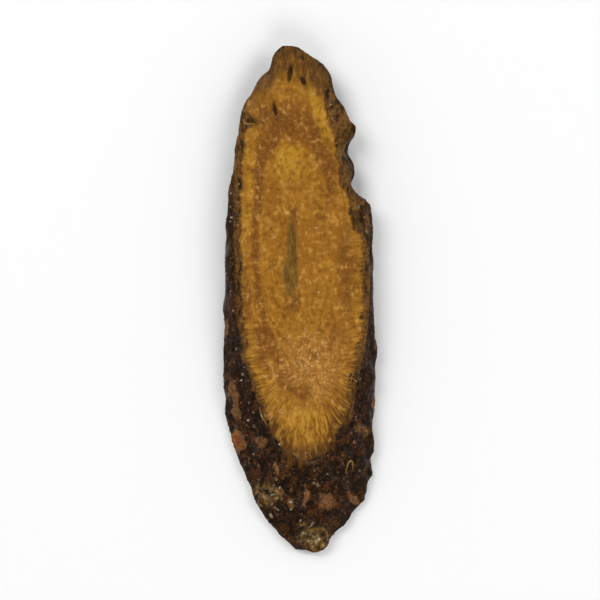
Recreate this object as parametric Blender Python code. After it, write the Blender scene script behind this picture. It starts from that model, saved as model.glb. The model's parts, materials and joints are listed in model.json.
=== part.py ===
"""A licorice root slice: one slanting slice of a dried, glazed root, bark and all.

The slice lies on its lower cut face. +Z is up, +Y runs along the slice towards its
overhanging tip, and the origin is under the middle of its bounding box.
The root's own axis leans along the slice, so the bark shows past the upper face at
the -Y end, and is undercut below the tip at the +Y end.
"""

import math

import bmesh
import bpy
from mathutils import Matrix, Vector, noise

MM = 0.001

# The root, and the knife's way through it.
ROOT_WIDTH = 14.9 * MM
CUT_ANGLE = math.radians(19.6)
THICKNESS = 3.6 * MM
LEAN = math.radians(2.0)
FACE_LENGTH = ROOT_WIDTH / math.sin(CUT_ANGLE)
SLIDE = THICKNESS / math.tan(CUT_ANGLE)
LOWER_SWELL = 1.08
WALL_BULGE = 0.30 * MM

# How the slice has dried: both tips lift off the table, and one side is thinner.
FLAT_HALF_LENGTH = 10.0 * MM
TIP_LIFT = 0.55 * MM
LIFT_REACH = 18.0 * MM
SIDE_TAPER = 0.02

# The lips: the thin cut edges of the bark are broken off blunt.
LIP_SHARE = 0.08
LIP_ROUND = 0.22 * MM

# The pith slit, seen on both faces, a little left of the middle.
PITH_OFFSET = Vector((-1.0 * MM, -0.6 * MM))
PITH_HALF_LENGTH = 3.9 * MM
PITH_HALF_WIDTH = 0.42 * MM
PITH_DEPTH = 0.32 * MM

# Ring structure, as shares of the way from the pith to the bark.
CAMBIUM_RING = 0.63
PHLOEM_RING = 0.80
CAMBIUM_GROOVE = 0.14 * MM
PHLOEM_RIDGE = 0.10 * MM
RING_SPREAD = 0.06
LIP_START = 0.93
FACE_WAVE = 0.16 * MM
FACE_WAVE_LENGTH = 4.5 * MM
TABLE_PRESS = 0.05 * MM
PRESS_EASE = 0.10 * MM

# Bark: lengthwise wrinkles, rounded warts, and a ragged edge.
WRINKLE_HEIGHT = 0.26 * MM
WRINKLE_WIDTH = 1.5 * MM
WRINKLE_STRETCH = 2.2
WART_HEIGHT = 0.38 * MM
WART_SPACING = 3.0 * MM
WART_REACH = 0.55
RELIEF_FADE = 0.13
RAGGED_HEIGHT = 0.20 * MM
RAGGED_LENGTH = 1.3 * MM

# Swellings (+) and hollows (-) of the two outlines: degrees anticlockwise from +X
# seen from above, spread in degrees, and how far they stand out or draw in.
UPPER_EDGE = (
    (35.0, 3.0, 0.85 * MM),
    (27.0, 9.0, -0.55 * MM),
    (11.5, 3.5, 0.60 * MM),
    (50.0, 4.5, -0.55 * MM),
    (76.0, 9.0, -0.38 * MM),
    (99.0, 5.0, 0.15 * MM),
    (113.5, 5.0, -0.48 * MM),
    (137.0, 5.0, 0.20 * MM),
    (-25.0, 16.0, 0.25 * MM),
)
LOWER_EDGE = (
    (4.0, 30.0, -0.65 * MM),
    (-37.5, 4.0, 1.00 * MM),
    (-47.0, 5.0, 0.75 * MM),
    (-68.0, 6.0, -0.60 * MM),
    (-93.0, 6.0, -0.25 * MM),
    (-107.0, 5.0, -0.45 * MM),
    (-118.0, 5.0, -0.20 * MM),
    (-131.0, 7.0, 0.20 * MM),
    (-160.0, 14.0, 0.80 * MM),
)

# Bites broken out of the rim, through the whole thickness: place, reach, and push.
BITES = (
    (Vector((6.3, 11.9)) * MM, 1.5 * MM, Vector((-1.15, 0.1)) * MM),
    (Vector((5.9, 15.8)) * MM, 1.5 * MM, Vector((-1.10, 0.2)) * MM),
    (Vector((7.8, -17.2)) * MM, 0.7 * MM, Vector((-0.55, 0.0)) * MM),
    (Vector((-3.7, 24.4)) * MM, 1.0 * MM, Vector((0.35, -0.2)) * MM),
    (Vector((-5.1, 23.0)) * MM, 1.2 * MM, Vector((0.40, -0.40)) * MM),
)

# Drying cracks and a knot hollow in the upper face: place, length, width, depth, turn.
CRACKS = (
    (Vector((-1.15, 24.1)) * MM, 2.4 * MM, 0.38 * MM, 0.8 * MM, math.radians(-8)),
    (Vector((0.28, 23.3)) * MM, 1.2 * MM, 0.40 * MM, 0.6 * MM, math.radians(28)),
    (Vector((-2.75, 20.2)) * MM, 2.6 * MM, 0.36 * MM, 0.8 * MM, math.radians(10)),
    (Vector((-5.35, 19.1)) * MM, 1.6 * MM, 0.70 * MM, 0.9 * MM, math.radians(68)),
    (Vector((-4.75, 18.6)) * MM, 1.5 * MM, 0.60 * MM, 1.0 * MM, math.radians(-12)),
)

# The middle of the bounding box of the finished outline, which the origin goes under.
MIDDLE = Vector((-0.079, -0.009)) * MM

# How finely the solid is meshed.
POINTS_ROUND = 144
FACE_RINGS = (0.985, 0.95, 0.90, 0.85, 0.80, 0.745, 0.69, 0.63, 0.57)
HALF_RINGS = (0.48, 0.36, 0.25)
PITH_RINGS = ((0.15, 0.0), (0.06, 0.15 * PITH_DEPTH), (0.0, PITH_DEPTH))
WALL_ROWS = 12
EVEN_SPACING = 0.25
STEP = 0.001

# The cut face is what shows most, so the solid takes its colour.
FACE_OCHRE = (0.33, 0.145, 0.024, 1.0)
GLAZE_ROUGHNESS = 0.4


def smooth_step(x):
    """0 below 0, 1 above 1, and an even rise between."""
    x = min(max(x, 0.0), 1.0)
    return x * x * (3.0 - 2.0 * x)


def mix(a, b, share):
    return a + (b - a) * share


def edge_offset(angle, features):
    """How far the outline stands out at this angle."""
    out = 0.0
    for degrees, spread, height in features:
        gap = math.degrees(angle) - degrees
        gap = (gap + 180.0) % 360.0 - 180.0
        out += height * math.exp(-((gap / spread) ** 2))
    return out


def rim_point(angle, level):
    """The outline of the root at a height: level 0 is the lower cut, 1 the upper."""
    half_width = ROOT_WIDTH / 2 * mix(LOWER_SWELL, 1.0, level)
    half_length = FACE_LENGTH / 2
    normal = Vector((math.cos(angle) / half_width, math.sin(angle) / half_length))
    normal.normalize()
    ragged = RAGGED_HEIGHT * noise.noise(
        Vector((math.cos(angle) * half_width, math.sin(angle) * half_length, 0)) / RAGGED_LENGTH
        + Vector((0, 0, level * 1.5 + 4.0))
    )
    out = mix(edge_offset(angle, LOWER_EDGE), edge_offset(angle, UPPER_EDGE), level)
    point = Vector((math.cos(angle) * half_width, math.sin(angle) * half_length))
    point += normal * (out + ragged)
    return bitten(lean(point + Vector((0.0, slide_at(level)))))


def bitten(point):
    """The point, drawn in where a bite is broken out of the rim."""
    for place, reach, push in BITES:
        point = point + push * math.exp(-(((point - place).length / reach) ** 2))
    return point


def slide_at(level):
    """How far along the slice the root has moved at this height, with blunt lips."""
    share = (level - LIP_SHARE) / (1.0 - 2.0 * LIP_SHARE)
    return (min(max(share, 0.0), 1.0) - 0.5) * SLIDE


def lean(point):
    """Turns a point of the straight root to the lean that it has on the table."""
    return Matrix.Rotation(LEAN, 2) @ point


def lift(point):
    """How high the dried slice has risen off the table here."""
    along = (abs(point.y) - FLAT_HALF_LENGTH) / LIFT_REACH
    return TIP_LIFT * smooth_step(along)


def face_point(angle, share, level):
    """A point of a cut face: share 0 is the pith slit, 1 the bark."""
    slit = Vector(
        (PITH_HALF_WIDTH * math.cos(angle), PITH_HALF_LENGTH * math.sin(angle))
    )
    slit = lean(slit + PITH_OFFSET + Vector((0.0, slide_at(level))))
    return slit.lerp(rim_point(angle, level), share)


def ring_relief(point, share):
    """The low relief of the growth rings, and the waves left by drying."""
    groove = math.exp(-(((share - CAMBIUM_RING) / RING_SPREAD) ** 2))
    ridge = math.exp(-(((share - PHLOEM_RING) / RING_SPREAD) ** 2))
    wave = noise.noise(Vector((point.x * 1.6, point.y * 0.7, 0)) / FACE_WAVE_LENGTH)
    lip = LIP_ROUND * smooth_step((share - LIP_START) / (1.0 - LIP_START))
    return PHLOEM_RIDGE * ridge - CAMBIUM_GROOVE * groove + FACE_WAVE * wave - lip


def bark_relief(point, level):
    """How far the bark stands out: wrinkles along the root, with warts between."""
    along = point.y * math.cos(CUT_ANGLE) + point.z * math.sin(CUT_ANGLE)
    up = point.z * math.cos(CUT_ANGLE) - point.y * math.sin(CUT_ANGLE)
    across = point.x
    fine = Vector((across, along / WRINKLE_STRETCH, up)) / WRINKLE_WIDTH
    wrinkle = WRINKLE_HEIGHT * noise.noise(fine)
    near = noise.voronoi(Vector((across, along, up)) / WART_SPACING)[0][0]
    wart = WART_HEIGHT * smooth_step(1.0 - near / WART_REACH)
    fade = smooth_step(level / RELIEF_FADE) * smooth_step((1.0 - level) / RELIEF_FADE)
    bulge = WALL_BULGE * 4.0 * level * (1.0 - level)
    return (wrinkle + wart) * fade + bulge


def wall_point(angle, level):
    """The bark before its relief."""
    flat = rim_point(angle, level)
    return Vector((flat.x, flat.y, level * height_at(flat) + lift(flat)))


def height_at(flat):
    """How thick the slice is at its rim, here."""
    return THICKNESS + SIDE_TAPER * flat.x - LIP_ROUND


def upper_point(angle, share):
    flat = face_point(angle, share, 1.0)
    height = height_at(flat) + LIP_ROUND + lift(flat) + ring_relief(flat, share)
    return Vector((flat.x, flat.y, height))


def lower_point(angle, share):
    """The lower face is pressed flat, except where the relief leaves the table."""
    flat = face_point(angle, share, 0.0)
    relief = max(0.0, -ring_relief(flat, share) - TABLE_PRESS)
    return Vector((flat.x, flat.y, lift(flat) + relief * smooth_step(relief / PRESS_EASE)))


def bark_point(angle, level):
    """A point of the wall, with the bark's relief along the wall's own normal."""
    here = wall_point(angle, level)
    around = wall_point(angle + STEP, level) - wall_point(angle - STEP, level)
    rise = wall_point(angle, min(level + STEP, 1)) - wall_point(angle, max(level - STEP, 0))
    normal = around.cross(rise).normalized()
    here += normal * bark_relief(here, level)
    here.z = max(here.z, 0.0)
    return here


def angle_of(index, count):
    """Angles that keep the points about evenly spaced along the long outline."""
    turn = 2.0 * math.pi * index / count
    return turn - EVEN_SPACING * math.sin(2.0 * turn)


def add_ring(bm, count, place):
    return [bm.verts.new(place(angle_of(i, count))) for i in range(count)]


def join_rings(bm, inner, outer):
    """Faces between two rings; the outer one may have twice as many points."""
    if len(outer) == len(inner):
        count = len(outer)
        for i in range(count):
            j = (i + 1) % count
            bm.faces.new((inner[i], outer[i], outer[j], inner[j]))
        return
    count = len(inner)
    for i in range(count):
        j = (i + 1) % count
        first, middle, last = outer[2 * i], outer[2 * i + 1], outer[(2 * i + 2) % (2 * count)]
        bm.faces.new((inner[i], first, middle))
        bm.faces.new((inner[i], middle, inner[j]))
        bm.faces.new((inner[j], middle, last))


def close_slit(bm, ring):
    """The floor of the pith slit: a ladder of faces between its two long sides."""
    count = len(ring)
    quarter = count // 4
    for i in range(-quarter, quarter):
        right, right_next = ring[i % count], ring[(i + 1) % count]
        left, left_next = ring[(count // 2 - i) % count], ring[(count // 2 - i - 1) % count]
        corners = [right, right_next, left_next, left]
        corners = list(dict.fromkeys(corners))
        if len(corners) > 2:
            bm.faces.new(corners)


def add_face(bm, rim, point, sunk):
    """A cut face, from the rim inward to the floor of the pith slit."""
    outer = rim
    for share in FACE_RINGS:
        inner = add_ring(bm, POINTS_ROUND, lambda angle: point(angle, share))
        join_rings(bm, inner, outer)
        outer = inner
    for share in HALF_RINGS:
        inner = add_ring(bm, POINTS_ROUND // 2, lambda angle: point(angle, share))
        join_rings(bm, inner, outer)
        outer = inner
    for share, depth in PITH_RINGS:
        inner = add_ring(
            bm, POINTS_ROUND // 4, lambda angle: point(angle, share) + sunk * depth
        )
        join_rings(bm, inner, outer)
        outer = inner
    close_slit(bm, outer)


def build_body():
    """The slice as one closed mesh: the bark wall with a cut face above and below."""
    bm = bmesh.new()
    rows = [i / WALL_ROWS for i in range(WALL_ROWS + 1)]
    walls = [
        add_ring(bm, POINTS_ROUND, lambda angle: bark_point(angle, level))
        for level in rows
    ]
    for low, high in zip(walls, walls[1:]):
        join_rings(bm, high, low)
    add_face(bm, walls[-1], upper_point, Vector((0, 0, -1)))
    add_face(bm, walls[0], lower_point, Vector((0, 0, 1)))
    bmesh.ops.recalc_face_normals(bm, faces=bm.faces)
    bmesh.ops.triangulate(bm, faces=bm.faces, quad_method="SHORT_EDGE")
    mesh = bpy.data.meshes.new("licorice_slice")
    bm.to_mesh(mesh)
    bm.free()
    return mesh


def add_cutter(name, place, size, turn):
    """A pointed lens, sunk in the upper face, that a crack or hollow is cut with."""
    bm = bmesh.new()
    bmesh.ops.create_icosphere(bm, subdivisions=1, radius=0.5)
    top = height_at(place) + LIP_ROUND + lift(place)
    matrix = (
        Matrix.Translation((place.x, place.y, top))
        @ Matrix.Rotation(turn, 4, "Z")
        @ Matrix.Diagonal((size.x, size.y, size.z * 2, 1))
    )
    bmesh.ops.transform(bm, matrix=matrix, verts=bm.verts)
    mesh = bpy.data.meshes.new(name)
    bm.to_mesh(mesh)
    bm.free()
    cutter = bpy.data.objects.new(name, mesh)
    cutter.hide_render = True
    cutter.display_type = "WIRE"
    bpy.context.collection.objects.link(cutter)
    return cutter


def root_material():
    material = bpy.data.materials.new("glazed_root")
    material.use_nodes = True
    shader = material.node_tree.nodes["Principled BSDF"]
    shader.inputs["Base Color"].default_value = FACE_OCHRE
    shader.inputs["Roughness"].default_value = GLAZE_ROUGHNESS
    shader.inputs["Metallic"].default_value = 0.0
    return material


def main():
    for old in list(bpy.data.objects):
        bpy.data.objects.remove(old)

    mesh = build_body()
    mesh.materials.append(root_material())
    mesh.shade_smooth()
    mesh.set_sharp_from_angle(angle=math.radians(40))
    root = bpy.data.objects.new("licorice_slice", mesh)
    bpy.context.collection.objects.link(root)

    cutters = [
        add_cutter(f"crack_{n}", place, Vector((width, length, depth)), turn)
        for n, (place, length, width, depth, turn) in enumerate(CRACKS)
    ]
    for part in [root, *cutters]:
        part.data.transform(Matrix.Translation((-MIDDLE.x, -MIDDLE.y, 0.0)))
    for cutter in cutters:
        cut = root.modifiers.new(cutter.name, "BOOLEAN")
        cut.object = cutter
        cut.operation = "DIFFERENCE"


main()
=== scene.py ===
"""A slanting slice of dried, glazed licorice root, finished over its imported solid."""

import json
import math

import bpy
import numpy as np
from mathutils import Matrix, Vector, noise
from mathutils.bvhtree import BVHTree

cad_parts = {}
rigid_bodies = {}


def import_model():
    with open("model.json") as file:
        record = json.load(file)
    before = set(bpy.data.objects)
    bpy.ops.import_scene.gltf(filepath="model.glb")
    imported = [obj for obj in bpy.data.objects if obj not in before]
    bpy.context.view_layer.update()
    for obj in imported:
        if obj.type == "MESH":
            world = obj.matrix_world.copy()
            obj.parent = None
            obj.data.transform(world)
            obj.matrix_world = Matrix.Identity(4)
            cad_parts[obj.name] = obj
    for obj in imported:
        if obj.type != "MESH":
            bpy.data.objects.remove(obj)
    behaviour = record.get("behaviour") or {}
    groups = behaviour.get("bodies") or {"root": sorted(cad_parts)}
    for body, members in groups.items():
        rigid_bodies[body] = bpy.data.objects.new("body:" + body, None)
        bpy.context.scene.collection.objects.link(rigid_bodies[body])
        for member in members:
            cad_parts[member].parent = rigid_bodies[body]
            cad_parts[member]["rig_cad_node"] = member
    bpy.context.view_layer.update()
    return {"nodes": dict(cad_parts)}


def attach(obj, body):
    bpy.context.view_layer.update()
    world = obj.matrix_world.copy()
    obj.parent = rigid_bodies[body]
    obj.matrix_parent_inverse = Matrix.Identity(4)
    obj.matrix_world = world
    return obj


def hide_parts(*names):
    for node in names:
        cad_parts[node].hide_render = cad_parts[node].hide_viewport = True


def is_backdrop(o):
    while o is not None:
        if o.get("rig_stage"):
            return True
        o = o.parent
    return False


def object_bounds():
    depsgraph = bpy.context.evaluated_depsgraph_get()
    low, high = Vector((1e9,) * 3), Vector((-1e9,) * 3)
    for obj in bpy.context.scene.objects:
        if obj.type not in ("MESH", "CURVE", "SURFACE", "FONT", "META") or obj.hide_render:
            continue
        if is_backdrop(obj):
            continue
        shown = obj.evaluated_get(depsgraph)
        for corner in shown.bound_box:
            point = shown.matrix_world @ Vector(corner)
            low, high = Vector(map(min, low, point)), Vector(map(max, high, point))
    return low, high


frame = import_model()

# The slice.
# One slanting cut of a woody root, about 15 mm thick before it was sliced and dried.
# The cut faces show pith, wood, the reddish growing ring and the golden rind with its
# fine rays; the bark round them is a dark, crusty cork with a sticky glaze.

MM = 0.001
CUT_ANGLE = math.radians(19.6)
THICKNESS = 3.6
SLIDE = THICKNESS / math.tan(CUT_ANGLE)
SIDE_TAPER = 0.02
LIP = 0.08
LEAN = math.radians(2.0)
HALF_WIDTH = 7.45
HALF_LENGTH = 22.2
BOX_MIDDLE = np.array([-0.079, -0.009])
PITH = np.array([-1.0, -0.6])
PITH_MARKS = (((-0.70, 0.4), (0.72, 3.8)), ((-0.98, -2.5), (0.98, 2.5)))
CURL_HEIGHT = 0.55
CURL_START = 10.0
CURL_LENGTH = 18.0
VOXEL = 0.000148
SMOOTHING = 9
WELD = 1e-6


def ease(low, high, x):
    """0 below low, 1 above high, and an even rise between."""
    x = np.clip((x - low) / (high - low), 0.0, 1.0)
    return x * x * (3.0 - 2.0 * x)


def rough(points, size, seed, octaves=1):
    """Smooth random heights, about -1 to 1, whose lumps have this size in mm."""
    scaled = points / np.asarray(size) + np.array([seed * 7.31, seed * 3.17, seed * 5.77])
    if octaves == 1:
        heights = [noise.noise(Vector(p)) for p in scaled]
    else:
        heights = [noise.fractal(Vector(p), 1.0, 2.0, octaves) for p in scaled]
    return np.array(heights)


def oval(points, place, reach, turn=0.0):
    """0 in the middle of an oval and 1 on its edge. Places and reaches are in mm."""
    cos, sin = math.cos(math.radians(turn)), math.sin(math.radians(turn))
    x, y = points[:, 0] - place[0], points[:, 1] - place[1]
    return np.hypot((x * cos + y * sin) / reach[0], (y * cos - x * sin) / reach[1])


def spot(points, place, reach, turn=0.0):
    """1 in the middle of an oval and fading to 0 past its edge."""
    return np.exp(-(oval(points, place, reach, turn) ** 3))


def lifted(points):
    """How far the two ends have curled up off the table as they dried."""
    return CURL_HEIGHT * ease(0.0, CURL_LENGTH, np.abs(points[:, 1]) - CURL_START)


def places_of(mesh):
    """The corner points of a mesh, in mm."""
    points = np.empty(len(mesh.vertices) * 3)
    mesh.vertices.foreach_get("co", points)
    return points.reshape(-1, 3) / MM


def normals_of(mesh):
    """The way each corner point of a mesh faces."""
    normals = np.empty(len(mesh.vertices) * 3)
    mesh.vertex_normals.foreach_get("vector", normals)
    return normals.reshape(-1, 3)


def move_to(mesh, points):
    """Puts the corner points of a mesh at these places, in mm."""
    mesh.vertices.foreach_set("co", (points * MM).astype(np.float32).ravel())
    mesh.update()


bpy.ops.object.select_all(action="DESELECT")
solid = frame["nodes"]["licorice_slice"]
solid.select_set(True)
bpy.context.view_layer.objects.active = solid
bpy.ops.object.duplicate()
root_slice = bpy.context.object
root_slice.name = "root_slice"
del root_slice["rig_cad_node"]
bpy.ops.object.mode_set(mode="EDIT")
bpy.ops.mesh.select_all(action="SELECT")
bpy.ops.mesh.remove_doubles(threshold=WELD)
bpy.ops.object.mode_set(mode="OBJECT")

# The drying cracks and the knot hollow have silted up with glaze: place, size and tilt.
CRACKS = (
    ((-1.07, 24.11), (0.38, 2.4), -8.0),
    ((0.36, 23.31), (0.40, 1.2), 28.0),
    ((-2.67, 20.21), (0.36, 2.6), 10.0),
    ((-5.27, 19.11), (0.70, 1.6), 68.0),
    ((-4.67, 18.61), (0.60, 1.5), -12.0),
)
SILT_DEPTH = 0.22
SILT_SHARE = 0.6
corners = places_of(root_slice.data)
not_under = normals_of(root_slice.data)[:, 2] > -0.3
silt_top = lifted(corners) + THICKNESS + SIDE_TAPER * corners[:, 0] - SILT_DEPTH
for place, size, tilt in CRACKS:
    half = (SILT_SHARE * size[0], SILT_SHARE * size[1])
    inside = (oval(corners, place, half, tilt) < 1.0) & not_under
    corners[inside, 2] = np.maximum(corners[inside, 2], silt_top[inside])
move_to(root_slice.data, corners)

skin = root_slice.modifiers.new("skin", "REMESH")
skin.mode = "VOXEL"
skin.voxel_size = VOXEL
bpy.ops.object.modifier_apply(modifier=skin.name)
soften = root_slice.modifiers.new("soften", "SMOOTH")
soften.factor = 0.5
soften.iterations = SMOOTHING
bpy.ops.object.modifier_apply(modifier=soften.name)
bpy.ops.object.shade_smooth()

mesh = root_slice.data
count = len(mesh.vertices)
points = places_of(mesh)
normals = normals_of(mesh)

# Where each point lies in the straight root: across it, and along the slanting cut.
level = (points[:, 2] - lifted(points)) / (THICKNESS + SIDE_TAPER * points[:, 0])
slid = (np.clip((level - LIP) / (1.0 - 2.0 * LIP), 0.0, 1.0) - 0.5) * SLIDE
flat = points[:, :2] + BOX_MIDDLE
straight = np.empty((count, 2))
straight[:, 0] = flat[:, 0] * math.cos(LEAN) + flat[:, 1] * math.sin(LEAN)
straight[:, 1] = flat[:, 1] * math.cos(LEAN) - flat[:, 0] * math.sin(LEAN) - slid
from_pith = straight - PITH
across, along = from_pith[:, 0] / HALF_WIDTH, from_pith[:, 1] / HALF_LENGTH
bearing = np.arctan2(along, across) % (2.0 * math.pi)
distance = np.hypot(across, along)

# How far out the bark is, by bearing and by height, and so each point's ring.
BEARINGS, LEVELS = 120, 6
bearing_step = bearing / (2.0 * math.pi) * BEARINGS
level_step = np.clip(level, 0.0, 0.999) * LEVELS
bark_at = np.zeros((LEVELS, BEARINGS))
np.maximum.at(bark_at, (level_step.astype(int), bearing_step.astype(int) % BEARINGS), distance)
bark_at = (np.roll(bark_at, 1, 1) + 2.0 * bark_at + np.roll(bark_at, -1, 1)) / 4.0
left = np.floor(bearing_step - 0.5).astype(int)
low = np.clip(np.floor(level_step - 0.5).astype(int), 0, LEVELS - 2)
share_right = bearing_step - 0.5 - left
share_up = np.clip(level_step - 0.5 - low, 0.0, 1.0)
bark_low = bark_at[low, left % BEARINGS] * (1.0 - share_right)
bark_low += bark_at[low, (left + 1) % BEARINGS] * share_right
bark_high = bark_at[low + 1, left % BEARINGS] * (1.0 - share_right)
bark_high += bark_at[low + 1, (left + 1) % BEARINGS] * share_right
ring = distance / (bark_low * (1.0 - share_up) + bark_high * share_up)

# Patches wander off their ovals, as growth does: a slow drift and a finer fray.
wander = np.stack([rough(points, 1.3, 21), rough(points, 1.3, 22), np.zeros(count)], 1)
frayed = np.stack([rough(points, 0.45, 23), rough(points, 0.45, 24), np.zeros(count)], 1)
loose = points + 0.45 * wander + 0.16 * frayed

# Rays: the way round a line through the middle of the cut, and the way out from it.
LINE_TOP, LINE_BOTTOM = np.array([-0.9, 7.0]), np.array([0.3, -12.4])
FAN = 5.0
line = LINE_BOTTOM - LINE_TOP
line_length = float(np.hypot(*line))
down = line / line_length
bent = straight + 0.22 * wander[:, :2] + 0.05 * frayed[:, :2]
share_down = np.clip(((bent - LINE_TOP) @ down) / line_length, 0.0, 1.0)
out = bent - (LINE_TOP + share_down[:, None] * line)
out_right = out[:, 0] * -down[1] + out[:, 1] * down[0]
out_down = out @ down
outward = np.hypot(out_right, out_down)
fan_turn = np.arctan2(out_down, out_right)
half_fan = FAN * math.pi
walk = np.where(
    out_right > 0.0,
    share_down * line_length,
    line_length + half_fan + (1.0 - share_down) * line_length,
)
walk = np.where(share_down >= 1.0, line_length + FAN * np.clip(fan_turn, 0.0, math.pi), walk)
walk = np.where(
    share_down <= 0.0,
    2.0 * line_length + half_fan + FAN * (math.pi + np.clip(fan_turn, -math.pi, 0.0)),
    walk,
)
walk_round = 2.0 * line_length + 2.0 * half_fan
turn = walk / walk_round * 2.0 * math.pi
rays = np.empty((count, 3))
rays[:, 0] = np.cos(turn) * walk_round / (2.0 * math.pi)
rays[:, 1] = np.sin(turn) * walk_round / (2.0 * math.pi)
rays[:, 2] = outward

# The same point seen along the root's own grain: across, along the root, and up.
grain = np.empty((count, 3))
grain[:, 0] = points[:, 0]
grain[:, 1] = points[:, 1] * math.cos(CUT_ANGLE) + points[:, 2] * math.sin(CUT_ANGLE)
grain[:, 2] = points[:, 2] * math.cos(CUT_ANGLE) - points[:, 1] * math.sin(CUT_ANGLE)

# Cork reaches further in where the rind is broken or thin: place, reach, tilt and depth.
top_side = ease(0.55, 0.8, level)
CORK_PATCHES = (
    ((4.9, 15.2), (1.5, 4.6), 12.0, 0.22),
    ((5.9, 9.0), (1.5, 2.2), 0.0, 0.15),
    ((6.6, 2.0), (1.2, 4.0), 0.0, 0.03),
    ((6.5, -6.6), (1.0, 1.9), 0.0, 0.065),
    ((6.3, -9.6), (1.3, 1.6), 0.0, 0.03),
    ((0.6, -15.8), (3.2, 2.0), 0.0, -0.045),
    ((-5.2, 19.0), (1.0, 1.0), 0.0, 0.12),
    ((-4.5, 21.2), (1.6, 2.4), -32.0, -0.055),
    ((-7.2, 5.0), (1.7, 14.0), 0.0, 0.165),
    ((3.8, 21.0), (1.5, 2.4), 0.0, 0.13),
    ((-5.9, -10.3), (1.5, 4.6), 18.0, 0.15),
)
ragged = rough(rays, (1.4, 1.4, 6.0), 1)
bark_reach = 0.035 * ragged + 0.02 * rough(points, 0.5, 2)
for place, reach, tilt, depth in CORK_PATCHES:
    bark_reach += depth * top_side * spot(loose, place, reach, tilt)
cork = ease(0.870, 0.985, ring + bark_reach)
wall = np.maximum(ease(0.965, 1.0, ring), ease(0.05, 0.12, level) * ease(0.90, 0.82, level))
cork = np.maximum(cork, wall)
tip = ease(20.0, 23.5, points[:, 1]) * top_side

# Low down the edge of the wood is torn: strands reach out over the bark wall.
edge = 0.5 * ease(0.89, 1.0, ring + bark_reach) + 0.3 * ease(1.0, 1.08, ring + bark_reach)
edge += 0.5 * ease(1.0, 0.82, level)
torn = ease(-3.0, -9.0, points[:, 1]) * top_side
cap = ease(0.76, 0.86, ring + 0.05 * ragged) * tip

# The growing ring is red-brown: strong on the left and at the tip, all but gone on the right.
ring_here = ring + 0.025 * rough(points, 2.2, 8) + 0.010 * rough(points, 0.7, 10)
at_tip = ease(6.0, 13.0, points[:, 1])
ring_here += 0.065 * ease(-1.0, -3.0, points[:, 0]) * ease(16.0, 11.0, points[:, 1])
red_ring = ease(0.525 - 0.02 * at_tip, 0.590 + 0.02 * at_tip, ring_here)
red_ring *= 1.0 - ease(0.625, 0.73 + 0.06 * at_tip, ring_here)
red_ring *= 0.85 + 0.15 * at_tip
red_ring *= 1.0 - 0.80 * ease(-1.0, 3.0, points[:, 0]) * ease(13.0, 8.0, points[:, 1])
red_ring *= 1.0 - 0.35 * ease(-6.0, -11.0, points[:, 1])
RED_PATCHES = (
    ((-5.85, -0.4), (0.65, 4.8), 0.0, 0.95),
    ((-1.4, 18.9), (3.0, 2.1), 0.0, 0.85),
    ((-3.9, 19.8), (1.9, 2.2), 0.0, 0.80),
    ((3.2, 14.2), (1.1, 3.6), 16.0, 0.80),
    ((-0.6, 9.2), (0.8, 1.5), 0.0, 0.80),
    ((-0.8, -0.4), (1.0, 1.3), 0.0, 0.85),
    ((0.1, -9.7), (1.8, 0.8), -15.0, 0.95),
    ((3.7, -9.6), (0.8, 0.5), 30.0, 0.55),
    ((-4.1, -5.0), (0.55, 3.2), 14.0, 0.95),
    ((-2.3, -8.2), (0.55, 2.0), 38.0, 0.95),
    ((5.0, 3.0), (1.5, 6.0), 0.0, 0.75),
    ((5.2, -3.0), (0.9, 2.6), 0.0, 0.50),
)
red = red_ring
for place, reach, tilt, strength in RED_PATCHES:
    red = np.maximum(red, strength * top_side * spot(loose, place, reach, tilt))
GOLD_PATCHES = (
    ((1.90, 20.0), (0.72, 3.4), 19.0, 1.2),
    ((-5.32, 10.9), (0.50, 6.6), -5.0, 0.75),
    ((0.8, -13.2), (3.2, 2.6), 0.0, 0.65),
    ((-1.2, 14.9), (1.7, 2.4), 0.0, 0.8),
    ((6.0, -3.2), (0.4, 4.0), 0.0, 0.6),
    ((-4.6, -7.8), (0.5, 3.6), 18.0, 0.5),
    ((-5.8, 20.7), (0.40, 0.80), -20.0, 1.2),
)
gold = np.zeros(count)
for place, reach, tilt, strength in GOLD_PATCHES:
    gold = np.maximum(gold, strength * spot(loose, place, reach, tilt))
# A patch low in the middle of the wood where painted highlight specks gather.
sparkle = spot(loose, (0.9, -7.0), (3.0, 3.6)) * top_side
sparkle *= 1.0 - 0.6 * spot(loose, (0.1, -9.7), (1.8, 0.8), -15.0)
singed = ease(-19.4, -21.9, straight[:, 1])

# Rusty scars and corky warts on the bark: place, reach, tilt, height and colour.
SCARS = (
    ((-6.85, -15.1), (0.78, 1.45), 8.0, 0.22, 1.00),
    ((-4.10, -15.1), (0.75, 0.75), 0.0, 0.20, 0.50),
    ((2.90, -21.6), (1.15, 1.05), 0.0, 0.26, 0.64),
    ((-2.10, -20.4), (0.42, 0.80), 35.0, 0.18, 0.75),
    ((-0.90, -21.7), (0.40, 0.40), 0.0, 0.16, 0.60),
    ((0.50, -20.9), (0.32, 1.15), 0.0, 0.14, 0.60),
    ((5.80, -21.4), (1.00, 0.55), -40.0, 0.14, 0.62),
    ((-6.95, -10.9), (0.50, 2.70), 10.0, 0.16, 0.50),
    ((-7.85, -2.9), (0.40, 1.30), 0.0, 0.12, 0.60),
    ((7.95, -11.3), (0.30, 1.20), 0.0, 0.12, 0.60),
    ((8.00, -19.0), (0.32, 0.90), 0.0, 0.12, 0.50),
    ((6.60, -14.0), (0.90, 1.10), 30.0, 0.14, 0.40),
    ((-2.50, -18.0), (0.35, 0.85), 15.0, 0.12, 0.55),
    ((-3.60, -20.3), (0.85, 0.95), 25.0, 0.16, 0.30),
)
scar = np.zeros(count)
scar_height = np.zeros(count)
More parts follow.
